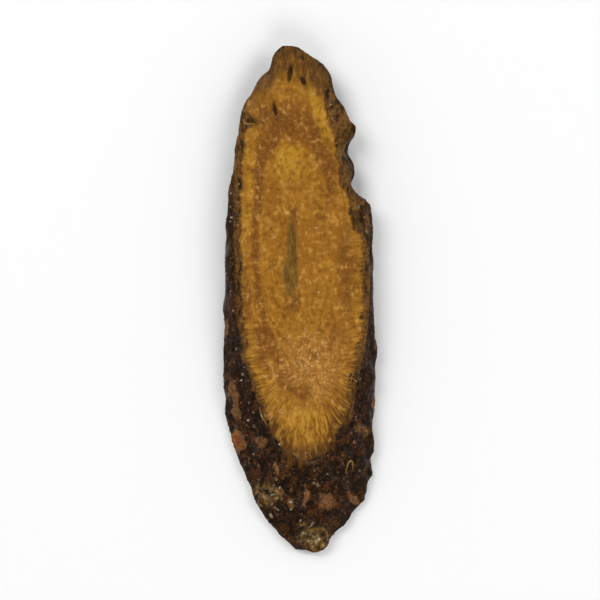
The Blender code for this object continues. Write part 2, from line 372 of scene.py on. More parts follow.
for place, reach, tilt, height, redness in SCARS:
    here = 1.0 - ease(0.40, 1.30, oval(loose, place, reach, tilt))
    here *= ease(0.93, 0.99, ring) * ease(-0.2, 0.3, normals[:, 2])
    scar = np.maximum(scar, here * redness)
    scar_height = np.maximum(scar_height, here * height)

# Where even the rim is the black, grainy crust: the lower end and the left side.
crusted = np.maximum(
    ease(1.0, -8.0, points[:, 1]),
    ease(-4.0, -5.5, points[:, 0]) * ease(16.0, 11.0, points[:, 1]),
)
crusted *= ease(0.97, 1.13, ring + bark_reach)

# Olive, waxy places on the bark of the lower end, and the olive pith in the wood.
OLIVE_PATCHES = (
    ((-3.6, -20.8), (1.60, 1.50), 20.0, 0.8),
    ((1.6, -25.6), (2.10, 1.70), -20.0, 0.9),
    ((0.2, -24.4), (1.00, 0.80), 0.0, 0.7),
)
olive = np.zeros(count)
for place, reach, tilt, strength in OLIVE_PATCHES:
    olive = np.maximum(olive, strength * spot(loose, place, reach, tilt))
olive *= wall
pith_at = straight + 0.16 * wander[:, :2] + 0.10 * frayed[:, :2]
pith_edge = np.minimum(*(oval(pith_at, middle, half) for middle, half in PITH_MARKS))
pith = 1.0 - ease(0.45, 1.35, pith_edge)

# Painted shade and dark places: shade painted into the drying cracks, the knot hollow and the
# notches, and dark patches of the rim.
SHADE_AND_DARK_PLACES = (
    ((-1.08, 24.13), (0.30, 1.20), -8.0, 0.95),
    ((0.35, 23.33), (0.32, 0.60), 28.0, 0.9),
    ((-2.68, 20.23), (0.28, 1.30), 10.0, 0.9),
    ((5.50, -8.30), (0.45, 0.60), 0.0, 0.9),
    ((-4.98, 19.10), (0.85, 0.62), -20.0, 0.55),
    ((-2.40, 21.70), (0.40, 0.90), 20.0, 0.3),
    ((2.60, 24.60), (0.65, 2.00), 36.0, 0.55),
    ((3.60, 22.40), (0.50, 1.30), 20.0, 0.50),
    ((-2.90, 25.20), (0.40, 1.20), 10.0, 0.45),
    ((6.10, 12.60), (0.90, 2.00), 0.0, 0.6),
    ((6.30, 8.40), (1.30, 0.80), 0.0, 0.6),
    ((5.30, 17.00), (0.60, 1.60), 0.0, 0.5),
    ((-6.30, -9.80), (0.40, 4.00), 12.0, 0.5),
    ((-3.90, -17.80), (1.20, 1.60), 20.0, 0.5),
)
shade_and_dark = np.zeros(count)
for place, reach, tilt, strength in SHADE_AND_DARK_PLACES:
    shade_and_dark = np.maximum(shade_and_dark, strength * spot(points + 0.12 * frayed, place, reach, tilt))
shade_and_dark *= top_side

# Relief: rays and pores on the cut faces, crust and scars on the bark. Heights in mm.
PORE_HEIGHT = 0.022
CHAFF_HEIGHT = 0.035
STREAK_HEIGHT = 0.012
FRINGE_HEIGHT = 0.05
CRUST_HEIGHT = 0.09
FLAKE_HEIGHT = 0.12
CRUMB_HEIGHT = 0.05
DARK_DEPTH = 0.05
face = 1.0 - wall
upward = ease(0.0, 0.35, normals[:, 2])
low_end = ease(-3.0, -9.0, points[:, 1])
fringe = ease(0.68, 0.85, ring) * face * (0.35 + 0.65 * low_end)
streaks = rough(rays, (0.30, 0.30, 2.2), 3)
pores = rough(grain, (0.30, 0.80, 0.6), 4)
chaff = rough(points, (0.55, 0.70, 0.6), 5, 3)
relief = face * (PORE_HEIGHT * pores + CHAFF_HEIGHT * chaff + STREAK_HEIGHT * streaks)
relief += fringe * FRINGE_HEIGHT * streaks
crust = rough(grain, (0.80, 1.3, 0.80), 6, 4)
flakes = np.abs(rough(grain, (0.50, 0.75, 0.50), 7, 2))
crumbs = rough(points, 0.30, 9)
crusty = cork * (0.30 + 0.70 * wall) * (1.0 - 0.7 * tip)
crust_relief = CRUST_HEIGHT * crust + FLAKE_HEIGHT * (flakes - 0.22)
relief += crusty * crust_relief * (0.45 + 0.55 * upward)
relief += crusty * CRUMB_HEIGHT * crumbs * (0.5 + 0.5 * upward)
relief += scar_height * (0.8 + 0.5 * crumbs)
relief -= DARK_DEPTH * shade_and_dark
underneath = 1.0 - ease(0.02, 0.20, level)
relief = np.where((underneath > 0.5) & (face > 0.5), np.minimum(relief, 0.0), relief)
points += normals * relief[:, None]
points[:, 2] = np.maximum(points[:, 2], 0.0)
move_to(mesh, points)


def mark(name, values, kind="FLOAT"):
    """Stores a number, or three, on each point of the slice for its material to read."""
    layer = mesh.attributes.new(name, kind, "POINT")
    layer.data.foreach_set("vector" if kind == "FLOAT_VECTOR" else "value", values.ravel())


mark("ring", ring)
mark("cork", cork)
mark("wall", wall)
mark("edge", edge)
mark("torn", torn)
mark("cap", cap)
mark("scar", scar)
mark("olive", olive)
mark("crusted", crusted)
mark("pith", pith)
mark("red", red)
mark("gold", gold)
mark("shade_and_dark", shade_and_dark)
mark("sparkle", sparkle)
mark("singed", singed)
mark("rays", rays, "FLOAT_VECTOR")
mark("grain", grain, "FLOAT_VECTOR")


def paint(red, green, blue):
    """A colour as the shader wants it, from the 0 to 255 values that a screen shows."""
    shown = [value / 255.0 for value in (red, green, blue)]
    linear = [c / 12.92 if c < 0.04045 else ((c + 0.055) / 1.055) ** 2.4 for c in shown]
    return linear + [1.0]


def put(tree, kind, feeds=None, **settings):
    """Adds a node. Feeds are values, or the sockets of other nodes, by input."""
    node = tree.nodes.new("ShaderNode" + kind)
    for name, value in settings.items():
        setattr(node, name, value)
    for name, value in (feeds or {}).items():
        if isinstance(value, bpy.types.NodeSocket):
            tree.links.new(value, node.inputs[name])
        else:
            node.inputs[name].default_value = value
    return node


def reckon(tree, operation, *values):
    """Sums, products and the like of numbers or sockets."""
    return put(tree, "Math", dict(enumerate(values)), operation=operation).outputs[0]


def tint(tree, share, under, over):
    """The colour under, with this share of the colour over laid on it."""
    return put(tree, "Mix", {0: share, 6: under, 7: over}, data_type="RGBA").outputs[2]


def spread(tree, value, low, high, to_low=0.0, to_high=1.0):
    """Turns low to high into to_low to to_high, with soft ends, and holds it there."""
    feeds = {0: value, 1: low, 2: high, 3: to_low, 4: to_high}
    return put(tree, "MapRange", feeds, interpolation_type="SMOOTHSTEP").outputs[0]


def bands(tree, value, stops):
    """Colour bands along a value: each stop is a place and a colour."""
    node = put(tree, "ValToRGB", {0: value})
    ramp = node.color_ramp
    while len(ramp.elements) < len(stops):
        ramp.elements.new(1.0)
    for element, (place, colour) in zip(ramp.elements, stops):
        element.position = place
        element.color = colour
    return node.outputs[0]


def clouds(tree, where, size, detail=2.0, roughness=0.5, curl=0.0):
    """Noise whose lumps are about this size in the units of where."""
    feeds = {
        "Vector": where,
        "Scale": 1.0 / size,
        "Detail": detail,
        "Roughness": roughness,
        "Distortion": curl,
    }
    return put(tree, "TexNoise", feeds).outputs[0]


def flecks(tree, where, spacing, share, bend=0.9):
    """Small scattered spots of uneven size: how far apart, how many of them, how bent."""
    bent = put(tree, "TexNoise", {"Vector": where, "Scale": 3.0 / spacing, "Detail": 1.0})
    centred = {0: bent.outputs[1], 1: (0.5, 0.5, 0.5)}
    push = put(tree, "VectorMath", centred, operation="SUBTRACT")
    push = put(tree, "VectorMath", {0: push.outputs[0], 3: bend * spacing}, operation="SCALE")
    moved = put(tree, "VectorMath", {0: where, 1: push.outputs[0]}, operation="ADD")
    cells = put(tree, "TexVoronoi", {"Vector": moved.outputs[0], "Scale": 1.0 / spacing})
    number = put(tree, "SeparateColor", {0: cells.outputs["Color"]}).outputs
    present = reckon(tree, "LESS_THAN", number[0], share)
    size = spread(tree, number[1], 0.0, 1.0, 0.12, 0.40)
    near = spread(tree, reckon(tree, "DIVIDE", cells.outputs["Distance"], size), 1.2, 0.3)
    return reckon(tree, "MULTIPLY", near, present)


def stretch(tree, where, scale):
    """Places drawn out or squeezed along each direction."""
    return put(tree, "VectorMath", {0: where, 1: scale}, operation="MULTIPLY").outputs[0]


def in_mm(tree):
    """Where a point is on its piece, in mm."""
    metres = put(tree, "TexCoord").outputs["Object"]
    return stretch(tree, metres, (1000.0, 1000.0, 1000.0))


def glaze_group():
    """Sticky glaze dried in patches: where it lies, how rough it is, its beads, and its glints,
    spots of extra coat which the root's colour also paints pale as highlights.
    """
    tree = bpy.data.node_groups.new("dried_glaze", "ShaderNodeTree")
    for name, kind, side in (
        ("Place", "NodeSocketVector", "INPUT"),
        ("Patch Size", "NodeSocketFloat", "INPUT"),
        ("Amount", "NodeSocketFloat", "INPUT"),
        ("Glint Share", "NodeSocketFloat", "INPUT"),
        ("Coat", "NodeSocketFloat", "OUTPUT"),
        ("Roughness", "NodeSocketFloat", "OUTPUT"),
        ("Beads", "NodeSocketFloat", "OUTPUT"),
        ("Glints", "NodeSocketFloat", "OUTPUT"),
    ):
        tree.interface.new_socket(name, in_out=side, socket_type=kind)
    given = tree.nodes.new("NodeGroupInput").outputs
    made = tree.nodes.new("NodeGroupOutput").inputs
    finer = reckon(tree, "DIVIDE", 1.0, given["Patch Size"])
    patches = put(
        tree, "TexNoise", {"Vector": given["Place"], "Scale": finer, "Detail": 3.0}
    ).outputs[0]
    beads = clouds(tree, given["Place"], 0.28, 3.0, 0.65)
    wet = spread(tree, patches, 0.40, 0.62)
    glints = flecks(tree, given["Place"], 0.50, given["Glint Share"])
    coat = reckon(tree, "MULTIPLY", wet, given["Amount"])
    coat = reckon(tree, "MULTIPLY_ADD", glints, 0.6, coat)
    tree.links.new(coat, made["Coat"])
    tree.links.new(spread(tree, patches, 0.35, 0.65, 0.62, 0.28), made["Roughness"])
    tree.links.new(beads, made["Beads"])
    tree.links.new(glints, made["Glints"])
    return tree


glaze = glaze_group()


def off_centre(tree, value, amount):
    """A noise value turned into a push of up to half this amount either way."""
    return reckon(tree, "MULTIPLY", reckon(tree, "SUBTRACT", value, 0.5), amount)


def root_material():
    """Cut wood, pith, cork and bark in one skin, by what is marked on the slice."""
    material = bpy.data.materials.new("glazed_root")
    material.use_nodes = True
    tree = material.node_tree
    shader = tree.nodes["Principled BSDF"]
    read = {
        name: put(tree, "Attribute", attribute_name=name).outputs["Fac"]
        for name in (
            "ring", "cork", "wall", "cap", "scar", "olive", "crusted", "pith", "red", "gold",
            "shade_and_dark", "sparkle", "singed", "edge", "torn",
        )
    }
    rays_at = put(tree, "Attribute", attribute_name="rays").outputs["Vector"]
    grain_at = put(tree, "Attribute", attribute_name="grain").outputs["Vector"]
    place = in_mm(tree)
    toward_tip = put(tree, "SeparateXYZ", {0: place}).outputs[1]

    # The cut wood: ochre, golden towards the rind, with red-brown where it grew.
    wander = clouds(tree, place, 1.3, 4.0, 0.6)
    broad = clouds(tree, place, 4.5, 2.0)
    shred = clouds(tree, stretch(tree, rays_at, (2.6, 2.6, 0.35)), 1.0, 3.0, 0.6)
    ring_here = reckon(tree, "ADD", read["ring"], off_centre(tree, wander, 0.14))
    wood = bands(
        tree,
        ring_here,
        (
            (0.00, paint(154, 103, 30)),
            (0.46, paint(160, 109, 32)),
            (0.66, paint(152, 101, 31)),
            (0.76, paint(158, 109, 31)),
            (0.88, paint(150, 101, 31)),
            (0.96, paint(114, 73, 24)),
        ),
    )
    wood = tint(tree, spread(tree, broad, 0.42, 0.62, 0.0, 0.35), wood, paint(140, 86, 30))
    golden = reckon(tree, "ADD", read["gold"], off_centre(tree, wander, 0.6))
    wood = tint(tree, spread(tree, golden, 0.15, 0.85, 0.0, 0.9), wood, paint(178, 129, 38))
    reddish = reckon(tree, "ADD", read["red"], off_centre(tree, wander, 0.35))
    wood = tint(tree, spread(tree, reddish, 0.15, 0.95, 0.0, 0.9), wood, paint(117, 69, 21))
    # The glinting patch is painted paler, partly as painted highlight.
    wood = tint(tree, reckon(tree, "MULTIPLY", read["sparkle"], 0.5), wood, paint(174, 120, 56))

    # Growth lines: soft arcs that follow the rings, plainest low on the left.
    arcs = put(tree, "CombineXYZ", {
        0: reckon(tree, "MULTIPLY", ring_here, 25.0),
        1: put(tree, "SeparateXYZ", {0: grain_at}).outputs[1],
    }).outputs[0]
    arcs = clouds(tree, stretch(tree, arcs, (1.0, 0.14, 1.0)), 1.0, 1.5, 0.5)
    leftward = put(tree, "SeparateXYZ", {0: place}).outputs[0]
    plain = reckon(tree, "MULTIPLY", spread(tree, toward_tip, 4.0, -4.0, 0.25, 0.95),
                   spread(tree, leftward, 1.0, -3.0, 0.8, 1.05))
    plain = reckon(tree, "MULTIPLY", plain, spread(tree, ring_here, 0.80, 0.68))
    plain = reckon(tree, "MULTIPLY", plain, spread(tree, read["sparkle"], 0.1, 1.0, 1.0, 0.35))
    arc_share = reckon(tree, "MULTIPLY", spread(tree, arcs, 0.47, 0.66, 0.0, 0.9), plain)
    wood = tint(tree, arc_share, wood, paint(112, 67, 23))

    # Fibres, vessels and pores, which the slant draws out, and fine grit.
    swirls = clouds(tree, stretch(tree, rays_at, (1.3, 1.3, 0.8)), 1.0, 3.0, 0.58, 0.2)
    dashes = clouds(tree, stretch(tree, grain_at, (2.2, 1.3, 1.2)), 1.0, 3.0, 0.62)
    grains = clouds(tree, place, 0.42, 1.5, 0.5)
    speckle = reckon(tree, "ADD", reckon(tree, "MULTIPLY", dashes, 0.36),
                     reckon(tree, "MULTIPLY", grains, 0.28))
    speckle = reckon(tree, "ADD", speckle, reckon(tree, "MULTIPLY", swirls, 0.36))
    wood = tint(tree, spread(tree, speckle, 0.50, 0.37, 0.0, 0.62), wood, paint(96, 56, 16))
    wood = tint(tree, spread(tree, speckle, 0.50, 0.64, 0.0, 0.55), wood, paint(208, 156, 74))
    # Pale chips and bits: painted highlight specks, most of them in the glinting patch, and
    # pale grit in the red-brown wood.
    pale_chips_and_glints = flecks(tree, stretch(tree, rays_at, (1.0, 1.0, 0.8)), 0.80,
                   reckon(tree, "MULTIPLY_ADD", read["sparkle"], 0.30, 0.06), 0.7)
    wood = tint(tree, reckon(tree, "MULTIPLY", pale_chips_and_glints, 0.55), wood, paint(214, 168, 106))
    soft_bits = spread(tree, clouds(tree, place, 0.36, 1.0), 0.54, 0.68, 0.0, 0.45)
    pale_grit_and_glints = reckon(tree, "MAXIMUM", flecks(tree, place, 0.38, 0.90, 0.55), soft_bits)
    gritty = reckon(tree, "MULTIPLY", spread(tree, reddish, 0.3, 1.0), 0.24)
    bit_share = reckon(tree, "MAXIMUM", read["sparkle"], gritty)
    pale_grit_and_glints = reckon(tree, "MULTIPLY", pale_grit_and_glints, bit_share)
    wood = tint(tree, reckon(tree, "MULTIPLY", pale_grit_and_glints, 0.75), wood, paint(226, 181, 113))

    # Towards the cork the wood turns brown, strand by strand.
    hairs = clouds(tree, stretch(tree, rays_at, (4.2, 4.2, 0.55)), 1.0, 2.0, 0.6, 0.4)
    browned = reckon(tree, "MULTIPLY", read["cork"], spread(tree, shred, 0.30, 0.65, 0.7, 1.4))
    stranded = spread(tree, hairs, 0.42, 0.58)
    stranded = tint(tree, stranded, paint(60, 37, 16), paint(134, 92, 37))
    wood = tint(tree, spread(tree, browned, 0.0, 0.40, 0.0, 0.75), wood, stranded)

    # The lowest wood browns off into the bark in crumbs.
    singed = reckon(tree, "ADD", read["singed"], off_centre(tree, hairs, 1.6))
    crumbling = spread(tree, shred, 0.40, 0.60)
    crumbling = tint(tree, crumbling, paint(58, 37, 17), paint(112, 78, 34))
    wood = tint(tree, spread(tree, singed, 0.20, 0.90, 0.0, 0.75), wood, crumbling)

    # Rays: fine strands, golden with brown gaps, that fan out through the rind.
    hairy = spread(tree, toward_tip, 3.0, -10.0, 0.45, 1.0)
    gaps = reckon(tree, "MULTIPLY", spread(tree, hairs, 0.55, 0.34),
                  spread(tree, ring_here, 0.66, 0.92, 0.05, 0.75))
    wood = tint(tree, reckon(tree, "MULTIPLY", gaps, hairy), wood, paint(92, 58, 20))
    gleams = reckon(tree, "MULTIPLY", spread(tree, hairs, 0.50, 0.66),
                    spread(tree, ring_here, 0.60, 0.80, 0.0, 0.36))
    wood = tint(tree, reckon(tree, "MULTIPLY", gleams, hairy), wood, paint(200, 150, 62))

    # Pith: olive threads down the middle. At the upper tip the wood is capped with brown.
    threads = clouds(tree, stretch(tree, grain_at, (4.5, 0.9, 1.0)), 1.0, 3.0, 0.65)
    pith_here = reckon(tree, "ADD", read["pith"], off_centre(tree, threads, 1.4))
    olive_brown = spread(tree, threads, 0.42, 0.60)
    olive_brown = tint(tree, olive_brown, paint(78, 56, 20), paint(126, 93, 36))
    wood = tint(tree, spread(tree, pith_here, 0.25, 1.00, 0.0, 0.85), wood, olive_brown)
    strands = clouds(tree, stretch(tree, grain_at, (2.4, 0.7, 1.0)), 1.0, 4.0, 0.68)
    cap_here = spread(tree, strands, 0.36, 0.60, 0.40, 1.0)
    cap_here = reckon(tree, "MULTIPLY", read["cap"], cap_here)
    wood = tint(tree, cap_here, wood, paint(86, 56, 24))

    # Bark: near-black crust with brown scales, rusty scars and olive wax.
    scales = clouds(tree, stretch(tree, grain_at, (1.0, 0.7, 1.0)), 0.60, 4.0, 0.66)
    crumbs = clouds(tree, place, 0.26, 3.0, 0.72)
    crust = reckon(tree, "ADD", reckon(tree, "MULTIPLY", scales, 0.5),
                   reckon(tree, "MULTIPLY", crumbs, 0.5))
    bark = bands(
        tree,
        crust,
        (
            (0.38, paint(8, 3, 1)),
            (0.49, paint(25, 13, 6)),
            (0.57, paint(56, 32, 15)),
            (0.68, paint(122, 80, 43)),
        ),
    )
    earthy = reckon(tree, "MULTIPLY", spread(tree, wander, 0.50, 0.66, 0.0, 0.7),
                    spread(tree, crumbs, 0.38, 0.58, 0.3, 1.0))
    bark = tint(tree, earthy, bark, paint(88, 52, 24))
    rust = bands(tree, read["scar"], (
        (0.00, paint(72, 48, 28)),
        (0.45, paint(116, 77, 43)),
        (0.64, paint(124, 82, 47)),
        (1.00, paint(138, 74, 26)),
    ))
    # Noise darkens and lightens the scars in spots: painted shade and painted highlights on
    # their lumps.
    rust = tint(tree, spread(tree, crumbs, 0.54, 0.38, 0.0, 0.65), rust, paint(40, 23, 12))
    rust = tint(tree, spread(tree, scales, 0.54, 0.68, 0.0, 0.55), rust, paint(162, 120, 74))
    scarred = reckon(tree, "ADD", read["scar"], off_centre(tree, crust, 0.7))
    bark = tint(tree, spread(tree, scarred, 0.08, 0.38, 0.0, 0.95), bark, rust)
    waxy = reckon(tree, "ADD", read["olive"], off_centre(tree, crust, 1.2))
    matted = clouds(tree, place, 0.9, 3.0, 0.6, 0.2)
    wax = bands(tree, matted, (
        (0.38, paint(27, 16, 8)),
        (0.48, paint(74, 51, 24)),
        (0.58, paint(114, 86, 43)),
        (0.68, paint(168, 148, 104)),
    ))
    bark = tint(tree, spread(tree, waxy, 0.25, 0.70), bark, wax)
    rim = tint(tree, spread(tree, strands, 0.36, 0.58), paint(34, 20, 10), paint(112, 76, 34))
    rim = tint(tree, spread(tree, crumbs, 0.52, 0.38, 0.0, 0.65), rim, paint(38, 23, 12))
    rim = tint(tree, spread(tree, scales, 0.54, 0.66, 0.0, 0.4), rim, paint(146, 106, 54))
    cork_colour = tint(tree, spread(tree, read["wall"], 0.0, 0.5), rim, bark)
    crusted = reckon(tree, "ADD", read["crusted"], off_centre(tree, wander, 0.9))
    cork_colour = tint(tree, spread(tree, crusted, 0.15, 0.75, 0.0, 0.95), cork_colour, bark)

    # Cork meets wood along a crumbled edge.
    crumbled = reckon(tree, "ADD", read["cork"], off_centre(tree, shred, 1.3))
    cork_share = reckon(tree, "MAXIMUM", spread(tree, crumbled, 0.15, 0.85), read["wall"])
    fringed = reckon(tree, "ADD", read["edge"], off_centre(tree, hairs, 1.6))
    fringed = spread(tree, fringed, 0.34, 0.66)
    cork_share = reckon(tree, "MULTIPLY_ADD", reckon(tree, "SUBTRACT", fringed, cork_share),
                        read["torn"], cork_share)
    colour = tint(tree, cork_share, wood, cork_colour)
    # Painted shade in the cracks, the hollow and the notches, with the rim's dark patches, laid
    # on as a near-black brown.
    shaded = reckon(tree, "ADD", read["shade_and_dark"], off_centre(tree, grains, 0.5))
    colour = tint(tree, spread(tree, shaded, 0.2, 0.85, 0.0, 0.9), colour, paint(30, 16, 8))

    # Glaze over all of it, thickest on the bark and the lower wood.
    shine = put(tree, "Group", node_tree=glaze)
    tree.links.new(place, shine.inputs["Place"])
    shine.inputs["Patch Size"].default_value = 1.5
    tree.links.new(spread(tree, cork_share, 0.0, 1.0, 0.08, 0.10), shine.inputs["Amount"])
    crust_glint_share = spread(tree, broad, 0.40, 0.60, 0.10, 0.45)
    crust_glint_share = reckon(tree, "MULTIPLY", read["crusted"], crust_glint_share)
    glint_share = reckon(tree, "MULTIPLY_ADD", read["olive"], 0.20,
                         reckon(tree, "MULTIPLY_ADD", cork_share, crust_glint_share, 0.02))
    tree.links.new(glint_share, shine.inputs["Glint Share"])
    # The glints are painted into the colour as pale highlight specks, grey-violet to cream,
    # most of them on the crusted bark.
    pale = reckon(tree, "MULTIPLY", shine.outputs["Glints"], 0.6)
    painted_glint_colour = spread(tree, grains, 0.46, 0.64)
    painted_glint_colour = tint(tree, painted_glint_colour, paint(98, 80, 72), paint(208, 188, 158))
    colour = tint(tree, pale, colour, painted_glint_colour)

    heights = reckon(tree, "ADD", reckon(tree, "MULTIPLY", speckle, 0.6),
                     reckon(tree, "MULTIPLY", shine.outputs["Beads"], 0.4))
    scaly = reckon(tree, "MULTIPLY", crust, spread(tree, cork_share, 0.0, 1.0, 0.0, 0.8))
    grit = {"Strength": 0.8, "Distance": 0.24 * MM}
    grit["Height"] = reckon(tree, "ADD", heights, scaly)
    bump = put(tree, "Bump", grit)
    tree.links.new(colour, shader.inputs["Base Color"])
    tree.links.new(shine.outputs["Roughness"], shader.inputs["Roughness"])
    tree.links.new(shine.outputs["Coat"], shader.inputs["Coat Weight"])
    tree.links.new(bump.outputs[0], shader.inputs["Normal"])
    shader.inputs["Coat Roughness"].default_value = 0.16
    shader.inputs["Coat IOR"].default_value = 1.45
    shader.inputs["Specular IOR Level"].default_value = 0.10
    shader.inputs["Specular Tint"].default_value = (1.0, 0.80, 0.58, 1.0)
    return material


mesh.materials.clear()
mesh.materials.append(root_material())
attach(root_slice, "root")
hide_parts("licorice_slice")

# Stray fibres.
# Bast fibres that the knife pulled loose, curled and stuck flat in the glaze: a few long
# ones at the knot, the rim and the tip, and short fluff over the cut wood.

chance = np.random.default_rng(41)
surface = BVHTree.FromObject(root_slice, bpy.context.evaluated_depsgraph_get())


def on_slice(x, y, above=0.0):
    """The point of the slice's upper side at this place in mm, or None beside it."""
    spot_hit = surface.ray_cast(Vector((x, y, 20.0)) * MM, Vector((0.0, 0.0, -1.0)))[0]
    return None if spot_hit is None else spot_hit + Vector((0.0, 0.0, above * MM))


# Each long fibre: its thickness, and the places that it runs through.
LONG_FIBRES = (
    (1.0, (-6.15, 19.30), (-6.00, 18.95), (-5.60, 18.75), (-5.00, 18.80), (-4.60, 18.65)),
    (0.7, (-4.40, 20.75), (-4.15, 20.45), (-3.93, 20.27), (-3.70, 20.45), (-3.50, 20.70)),
    (0.7, (-3.93, 20.27), (-3.98, 19.80), (-3.80, 19.40), (-3.90, 19.05)),
    (1.1, (4.85, -8.00), (5.20, -8.35), (5.65, -8.30), (6.05, -8.75)),
    (0.9, (5.75, -7.75), (5.45, -8.20), (5.50, -8.70), (5.15, -9.05)),
    (0.7, (-0.90, 15.00), (-0.65, 14.75), (-0.40, 14.62), (-0.10, 14.70), (0.25, 14.90)),
    (0.6, (-3.90, 2.90), (-3.40, 3.40), (-2.95, 3.75), (-2.45, 4.10)),
    (0.6, (-4.50, 13.95), (-4.30, 13.55), (-3.95, 13.20), (-3.60, 13.05)),
    (1.2, (4.90, -18.50), (5.05, -17.60), (5.40, -17.10), (5.75, -17.45), (5.60, -18.30)),
    (1.0, (2.50, -24.30), (2.90, -24.90), (2.98, -25.50), (2.75, -26.00)),
    (1.1, (-4.60, -20.40), (-4.20, -20.85), (-3.60, -20.95), (-3.20, -21.50)),
    (0.9, (-4.30, -11.40), (-4.20, -12.20), (-3.80, -12.90), (-3.50, -13.40)),
    (0.8, (-3.90, -12.00), (-3.60, -12.40), (-3.70, -12.90)),
    (0.8, (0.55, -16.20), (0.90, -16.30), (1.15, -16.60), (1.20, -17.00)),
)
# Fluff: middle, spread and number.
FLUFF_FIELDS = (
    ((0.9, -7.0), (2.4, 3.6), 7),
    ((-2.2, 19.4), (2.6, 1.6), 12),
    ((2.6, 14.6), (1.4, 3.4), 6),
    ((-0.5, 4.0), (4.2, 9.0), 6),
)
FIBRE_RADIUS = 0.085
FIBRE_SINK = 0.4
END_TAPER = 0.45
FLUFF_STEPS = 3
FLUFF_STEP = (0.10, 0.26)
FLUFF_THICKNESS = 0.6
paths = [(walk, thickness) for thickness, *walk in LONG_FIBRES]
for middle, reach, number in FLUFF_FIELDS:
    for _ in range(number):
        x, y = middle + chance.normal(0.0, 0.5, 2) * reach
        heading = chance.uniform(0.0, 2.0 * math.pi)
        walk = [(x, y)]
        for _ in range(FLUFF_STEPS):
            heading += chance.uniform(-0.9, 0.9)
            step = chance.uniform(*FLUFF_STEP)
            x, y = x + step * math.cos(heading), y + step * math.sin(heading)
            walk.append((x, y))
        paths.append((walk, FLUFF_THICKNESS))

bpy.ops.object.select_all(action="DESELECT")
bpy.ops.curve.primitive_nurbs_path_add(location=(0.0, 0.0, 0.0))
fibres = bpy.context.object
fibres.name = "stray_fibres"
strands = fibres.data
strands.splines.clear()
strands.bevel_depth = FIBRE_RADIUS * MM
strands.bevel_resolution = 1
strands.resolution_u = 4
strands.use_fill_caps = True
for path, thickness in paths:
    places = [on_slice(x, y, FIBRE_SINK * FIBRE_RADIUS) for x, y in path]
    if None in places:
        continue
    strand = strands.splines.new("NURBS")
    strand.points.add(len(places) - 1)
    strand.use_endpoint_u = True
    strand.order_u = 3
    for at, (point, place) in enumerate(zip(strand.points, places)):
        point.co = (*place, 1.0)
        point.radius = thickness * (END_TAPER if at in (0, len(places) - 1) else 1.0)
bpy.ops.object.convert(target="MESH")
fibres = bpy.context.object
bpy.ops.object.shade_smooth()


def glazed(name, tones, size, bump_size, wet):
    """A glazed material whose colour wanders between these tones, and is this wet."""
    material = bpy.data.materials.new(name)
    material.use_nodes = True
    tree = material.node_tree
    shader = tree.nodes["Principled BSDF"]
    place = in_mm(tree)
    colour = bands(tree, clouds(tree, place, size, 3.0, 0.6), tones)
    toward_tip = put(tree, "SeparateXYZ", {0: place}).outputs[1]
    low_end = spread(tree, toward_tip, -14.0, -19.0, 0.0, 0.55)
    colour = tint(tree, low_end, colour, paint(98, 78, 42))
    shine = put(tree, "Group", node_tree=glaze)
    tree.links.new(place, shine.inputs["Place"])
    shine.inputs["Patch Size"].default_value = 0.6
    shine.inputs["Amount"].default_value = wet
    shine.inputs["Glint Share"].default_value = 0.05
    grit = {"Strength": 0.7, "Distance": 0.06 * MM}
    grit["Height"] = clouds(tree, place, bump_size, 3.0, 0.6)
    bump = put(tree, "Bump", grit)
    tree.links.new(colour, shader.inputs["Base Color"])
    tree.links.new(shine.outputs["Roughness"], shader.inputs["Roughness"])
    tree.links.new(shine.outputs["Coat"], shader.inputs["Coat Weight"])
    tree.links.new(bump.outputs[0], shader.inputs["Normal"])
    shader.inputs["Coat Roughness"].default_value = 0.12
    shader.inputs["Specular IOR Level"].default_value = 0.1 + 0.4 * wet
    return material


FIBRE_TONES = (
    (0.36, paint(112, 74, 30)),
    (0.50, paint(148, 106, 52)),
    (0.64, paint(184, 148, 96)),
)
fibres.data.materials.append(glazed("bast_fibre", FIBRE_TONES, 1.1, 0.12, 0.05))
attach(fibres, "root")

# Crumbs.
# Bits of bark and dried glaze that stuck to the slice while it was wet: most lie on the
# bark of the lower end, a few along both sides. Middle, spread, number and size.

CRUMB_FIELDS = (
    ((-3.4, -20.9), (1.6, 1.4), 26, 0.15),
    ((1.5, -25.2), (1.6, 1.2), 22, 0.14),
    ((-5.9, -13.5), (1.2, 4.0), 22, 0.13),
    ((1.5, -19.0), (4.6, 3.0), 34, 0.13),
    ((6.3, -14.5), (1.2, 4.0), 14, 0.13),
    ((-7.3, 1.0), (0.4, 8.0), 12, 0.11),
    ((7.0, 8.0), (0.7, 4.0), 8, 0.12),
)
CRUMB_ROUGHNESS = 0.65 * MM
CRUMB_WEAR = 0.25
bpy.ops.object.select_all(action="DESELECT")
bpy.ops.mesh.primitive_ico_sphere_add(subdivisions=2, radius=MM, location=(0.0, 0.0, 0.0))
crumb = bpy.context.object
bpy.ops.object.mode_set(mode="EDIT")
bpy.ops.mesh.select_all(action="SELECT")
bpy.ops.transform.vertex_random(offset=CRUMB_ROUGHNESS, seed=3)
bpy.ops.mesh.vertices_smooth(factor=CRUMB_WEAR)
bpy.ops.object.mode_set(mode="OBJECT")
bpy.ops.object.shade_smooth()
resting = []
for middle, reach, number, size in CRUMB_FIELDS:
    for _ in range(number):
        x, y = middle + chance.normal(0.0, 0.55, 2) * reach
        squash = chance.uniform(0.5, 1.7, 3)
        turned = chance.uniform(0.0, math.pi, 3)
        radius = size * chance.uniform(0.4, 1.3)
        where = on_slice(x, y)
        if where is not None:
            resting.append((where, turned, radius * squash))


